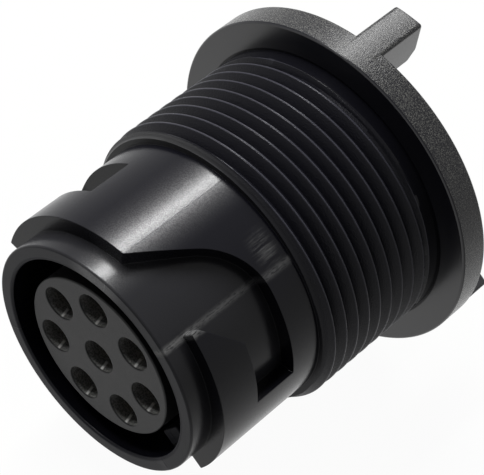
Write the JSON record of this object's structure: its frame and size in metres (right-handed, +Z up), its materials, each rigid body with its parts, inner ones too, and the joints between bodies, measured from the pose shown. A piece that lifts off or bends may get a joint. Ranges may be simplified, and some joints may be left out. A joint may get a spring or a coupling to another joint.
{
  "type": "panel-mount circular connector receptacle",
  "caption": "Black panel-mount circular connector with a bayonet nose, threaded barrel, round flange with rear tabs and a socket insert.",
  "frame": {"origin": "centre of the flange's front face, where the panel seats", "axes": "-Y along the barrel towards the nose, +X to the right seen from the front, +Z up, with one rear tab at the top"},
  "size_m": [0.024, 0.0264, 0.024],
  "materials": {
    "shell_plastic": "satin moulded, grained on the rim",
    "insert_plastic": "satin moulded",
    "retainer_plastic": "satin moulded",
    "spring_steel": "bright",
    "seal_rubber": "matt",
    "contact_metal": "gold flashed"
  },
  "bodies": {
    "root": {"shell": "shell_plastic", "contact_insert": "insert_plastic", "contact_retainer": "retainer_plastic", "retaining_ring": "spring_steel", "insert_seal": "seal_rubber", "mating_seal": "seal_rubber", "contact_1": "contact_metal", "contact_2": "contact_metal", "contact_3": "contact_metal", "contact_4": "contact_metal", "contact_5": "contact_metal", "contact_6": "contact_metal", "contact_7": "contact_metal", "contact_8": "contact_metal"}
  },
  "joints": []
}
